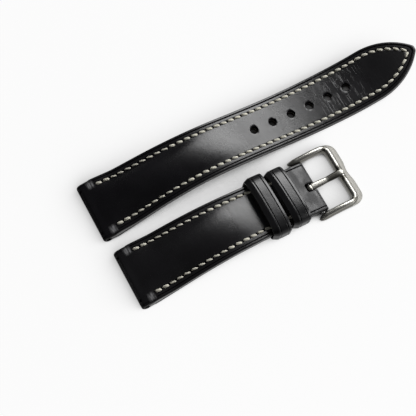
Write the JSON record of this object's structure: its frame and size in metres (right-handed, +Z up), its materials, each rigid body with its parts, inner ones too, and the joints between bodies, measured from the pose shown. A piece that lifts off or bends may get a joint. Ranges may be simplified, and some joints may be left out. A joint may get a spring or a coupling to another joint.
{
  "type": "watch strap",
  "caption": "Two-piece padded leather watch strap with contrast stitching, two leather keepers and a steel pin buckle, halves laid side by side.",
  "frame": {"origin": "on the table under the middle of the pair's bounding box", "axes": "+X from the lug ends towards the tip and the buckle, +Y from the short half towards the long half, +Z up from the table"},
  "size_m": [0.1138, 0.0448, 0.01],
  "materials": {
    "upper_leather": "smooth glossy box calf",
    "lining_leather": "fine matt nubuck",
    "padding_leather": "raw split",
    "tape": "thin non-woven",
    "thread": "waxed linen, ecru",
    "keeper_leather": "smooth glossy box calf",
    "buckle_steel": "polished with a brushed front bevel",
    "bar_steel": "drawn stainless steel",
    "staple_steel": "dull wire"
  },
  "bodies": {
    "root": {"long_upper": "upper_leather", "long_lining": "lining_leather", "long_padding": "padding_leather", "long_tape": "tape", "long_stitching": "thread", "short_upper": "upper_leather", "short_lining": "lining_leather", "short_padding": "padding_leather", "short_tape": "tape", "short_stitching": "thread", "fixed_keeper": "keeper_leather"},
    "free_keeper": {"free_keeper": "keeper_leather", "free_keeper_staple": "staple_steel"},
    "buckle": {"buckle_frame": "buckle_steel", "spring_bar_tube": "bar_steel", "spring_bar_spring": "bar_steel"},
    "tongue": {"buckle_tongue": "buckle_steel"},
    "tip_left": {"spring_bar_tip_left": "bar_steel"},
    "tip_right": {"spring_bar_tip_right": "bar_steel"}
  },
  "joints": [
    {"name": "buckle_swing", "type": "hinge", "parent": "root", "child": "buckle", "pos_m": [0.00574, -0.0116, 0.0019], "axis": [0, -1, 0], "range_deg": [-75, 20]},
    {"name": "tongue_swing", "type": "hinge", "parent": "buckle", "child": "tongue", "pos_m": [0.00574, -0.0116, 0.0019], "axis": [0, -1, 0], "range_deg": [0, 75]},
    {"name": "free_keeper_slide", "type": "slide", "parent": "root", "child": "free_keeper", "axis": [0.9951, 0, -0.0986], "range_m": [-0.009, 0.0005]},
    {"name": "bar_tip_left_press", "type": "slide", "parent": "buckle", "child": "tip_left", "axis": [0, -1, 0], "range_m": [0, 0.00105], "stiffness_N_per_m": 200, "deforming": ["spring_bar_spring"]},
    {"name": "bar_tip_right_press", "type": "slide", "parent": "buckle", "child": "tip_right", "axis": [0, 1, 0], "range_m": [0, 0.00105], "stiffness_N_per_m": 200, "deforming": ["spring_bar_spring"]}
  ]
}
